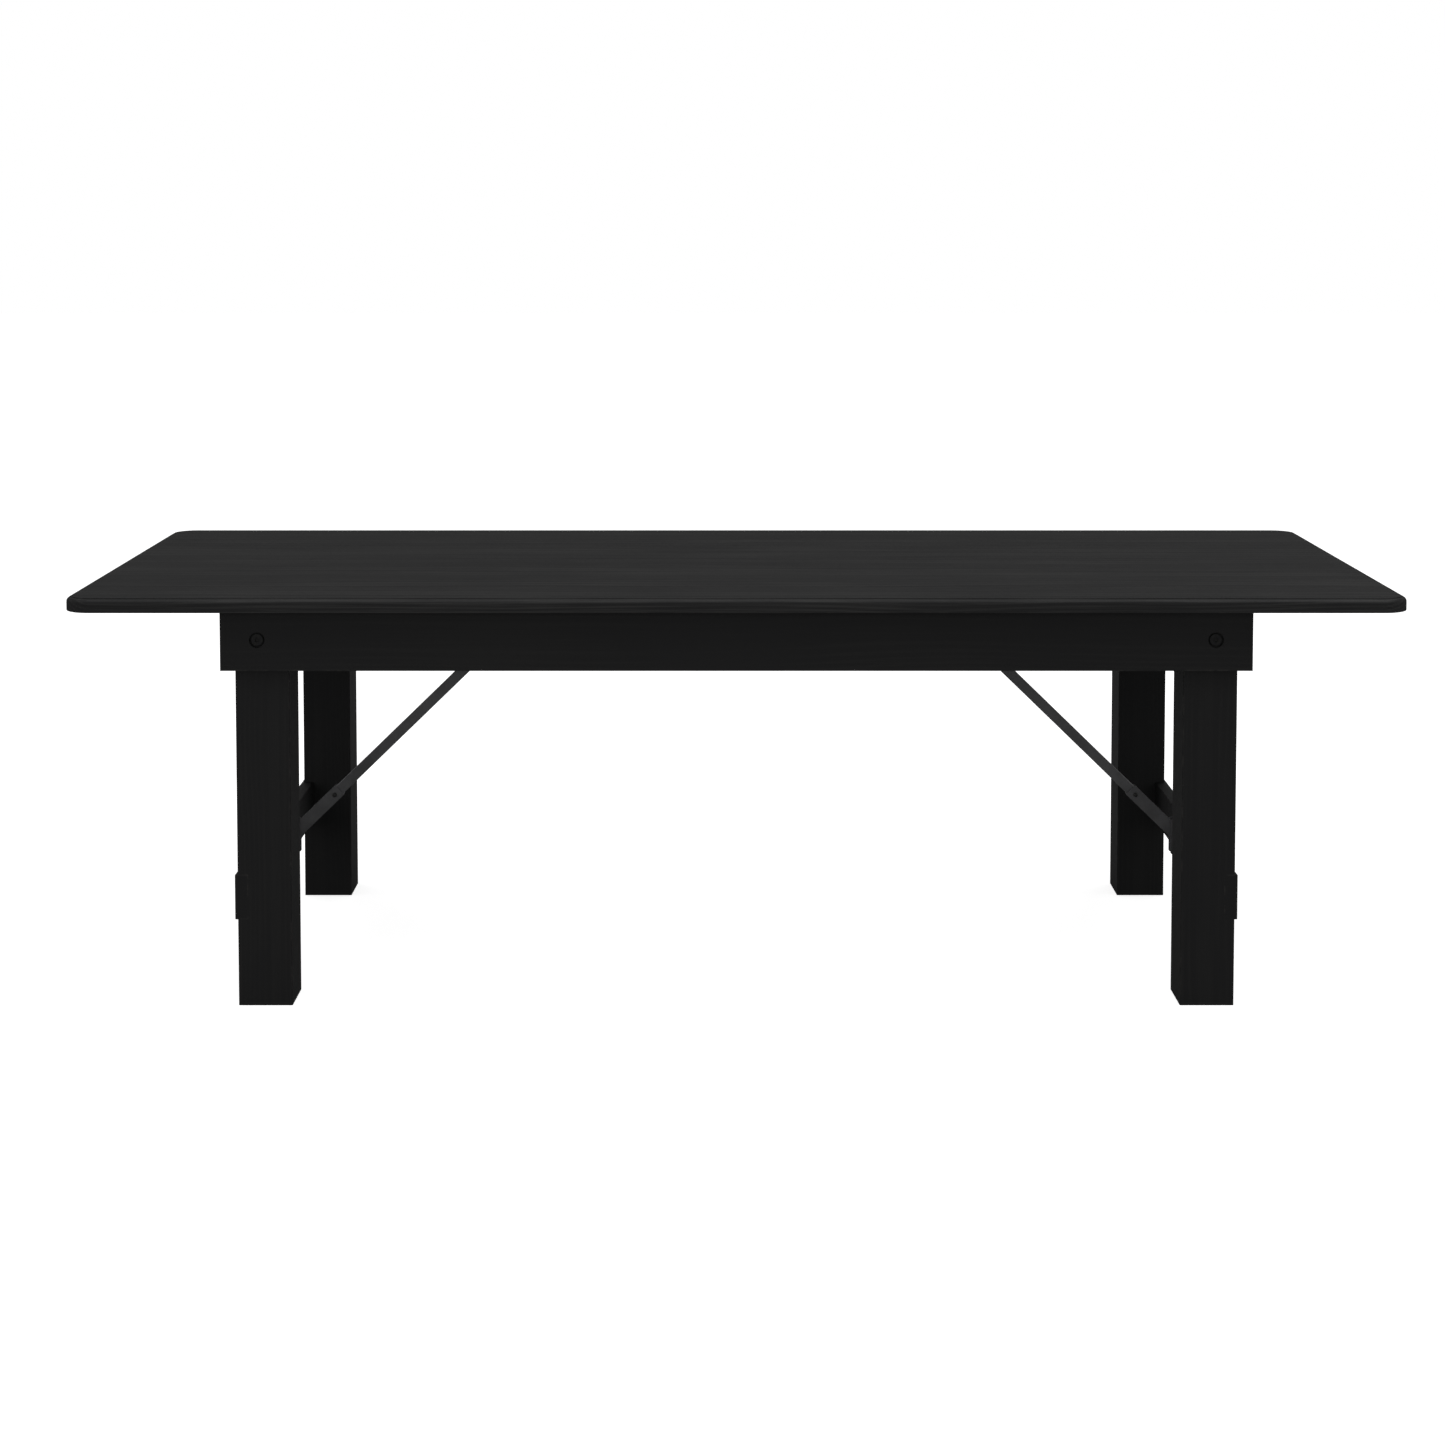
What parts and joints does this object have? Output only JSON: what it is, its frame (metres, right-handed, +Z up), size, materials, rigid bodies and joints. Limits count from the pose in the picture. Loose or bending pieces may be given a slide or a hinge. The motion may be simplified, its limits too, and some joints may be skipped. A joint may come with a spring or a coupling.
{
  "type": "folding table",
  "caption": "Rectangular plank-top folding table with rounded corners, side aprons, square legs that fold under the top, a low cross rail at each end and hinged metal braces.",
  "frame": {"origin": "on the floor, under the middle of the top", "axes": "+X along the table, +Y across it towards the rear, +Z up"},
  "size_m": [2.4384, 1.016, 0.765],
  "materials": {
    "top_wood": "black satin paint over planed pine, faint lengthwise grain",
    "frame_wood": "black satin paint over planed pine",
    "coated_steel": "black powder coat",
    "bolt_steel": "black oxide",
    "screw_steel": "black oxide",
    "button_steel": "dark nickel plate, worn on the dome",
    "spring_steel": "bright drawn wire",
    "nylon": "natural nylon"
  },
  "bodies": {
    "table_top": {"apron_screws": "screw_steel", "batten_screws": "screw_steel", "end_batten_left": "frame_wood", "end_batten_right": "frame_wood", "front_apron": "frame_wood", "middle_batten_left": "frame_wood", "middle_batten_right": "frame_wood", "pivot_bolts": "bolt_steel", "pivot_nuts": "bolt_steel", "pivot_spacers": "nylon", "pivot_washers": "bolt_steel", "rear_apron": "frame_wood", "top_board_1": "top_wood", "top_board_2": "top_wood", "top_board_3": "top_wood", "top_board_4": "top_wood", "top_board_5": "top_wood", "top_board_6": "top_wood", "top_board_7": "top_wood", "top_board_8": "top_wood", "top_board_9": "top_wood", "top_bracket_left": "coated_steel", "top_bracket_right": "coated_steel", "top_bracket_screws_left": "screw_steel", "top_bracket_screws_right": "screw_steel", "top_pin_left": "bolt_steel", "top_pin_right": "bolt_steel"},
    "leg_frame_right": {"leg_bushes_right": "nylon", "leg_front_right": "frame_wood", "leg_rail_right": "frame_wood", "leg_rear_right": "frame_wood", "link_pin_right": "bolt_steel", "rail_bracket_right": "coated_steel", "rail_bracket_screws_right": "screw_steel", "rail_screws_right": "screw_steel"},
    "leg_frame_left": {"leg_bushes_left": "nylon", "leg_front_left": "frame_wood", "leg_rail_left": "frame_wood", "leg_rear_left": "frame_wood", "link_pin_left": "bolt_steel", "rail_bracket_left": "coated_steel", "rail_bracket_screws_left": "screw_steel", "rail_screws_left": "screw_steel"},
    "bar_right": {"brace_bar_right": "coated_steel", "button_spring_right": "spring_steel"},
    "bar_left": {"brace_bar_left": "coated_steel", "button_spring_left": "spring_steel"},
    "link_right": {"brace_link_right": "coated_steel"},
    "link_left": {"brace_link_left": "coated_steel"},
    "button_right": {"snap_button_right": "button_steel"},
    "button_left": {"snap_button_left": "button_steel"}
  },
  "joints": [
    {"name": "leg_fold_right", "type": "hinge", "parent": "table_top", "child": "leg_frame_right", "pos_m": [0.873, 0, 0.683], "axis": [0, 1, 0], "range_deg": [0, 90]},
    {"name": "bar_swing_right", "type": "hinge", "parent": "table_top", "child": "bar_right", "pos_m": [0.36184, 0, 0.722], "axis": [0, -1, 0], "range_deg": [0, 44.17]},
    {"name": "link_swing_right", "type": "hinge", "parent": "leg_frame_right", "child": "link_right", "pos_m": [0.8823, 0, 0.2164], "axis": [0, 1, 0], "range_deg": [0, 45.83]},
    {"name": "button_press_right", "type": "slide", "parent": "bar_right", "child": "button_right", "axis": [0, 1, 0], "range_m": [0, 0.0033], "stiffness_N_per_m": 400, "springref_m": -0.004, "deforming": ["button_spring_right"]},
    {"name": "leg_fold_left", "type": "hinge", "parent": "table_top", "child": "leg_frame_left", "pos_m": [-0.873, 0, 0.683], "axis": [0, -1, 0], "range_deg": [0, 90]},
    {"name": "bar_swing_left", "type": "hinge", "parent": "table_top", "child": "bar_left", "pos_m": [-0.36184, 0, 0.722], "axis": [0, 1, 0], "range_deg": [0, 44.17]},
    {"name": "link_swing_left", "type": "hinge", "parent": "leg_frame_left", "child": "link_left", "pos_m": [-0.8823, 0, 0.2164], "axis": [0, -1, 0], "range_deg": [0, 45.83]},
    {"name": "button_press_left", "type": "slide", "parent": "bar_left", "child": "button_left", "axis": [0, 1, 0], "range_m": [0, 0.0033], "stiffness_N_per_m": 400, "springref_m": -0.004, "deforming": ["button_spring_left"]}
  ],
  "couplings": [
    {"joint": "bar_swing_right", "follows": "leg_fold_right", "ratio": 0.4907},
    {"joint": "link_swing_right", "follows": "leg_fold_right", "ratio": 0.5092},
    {"joint": "bar_swing_left", "follows": "leg_fold_left", "ratio": 0.4907},
    {"joint": "link_swing_left", "follows": "leg_fold_left", "ratio": 0.5092}
  ]
}
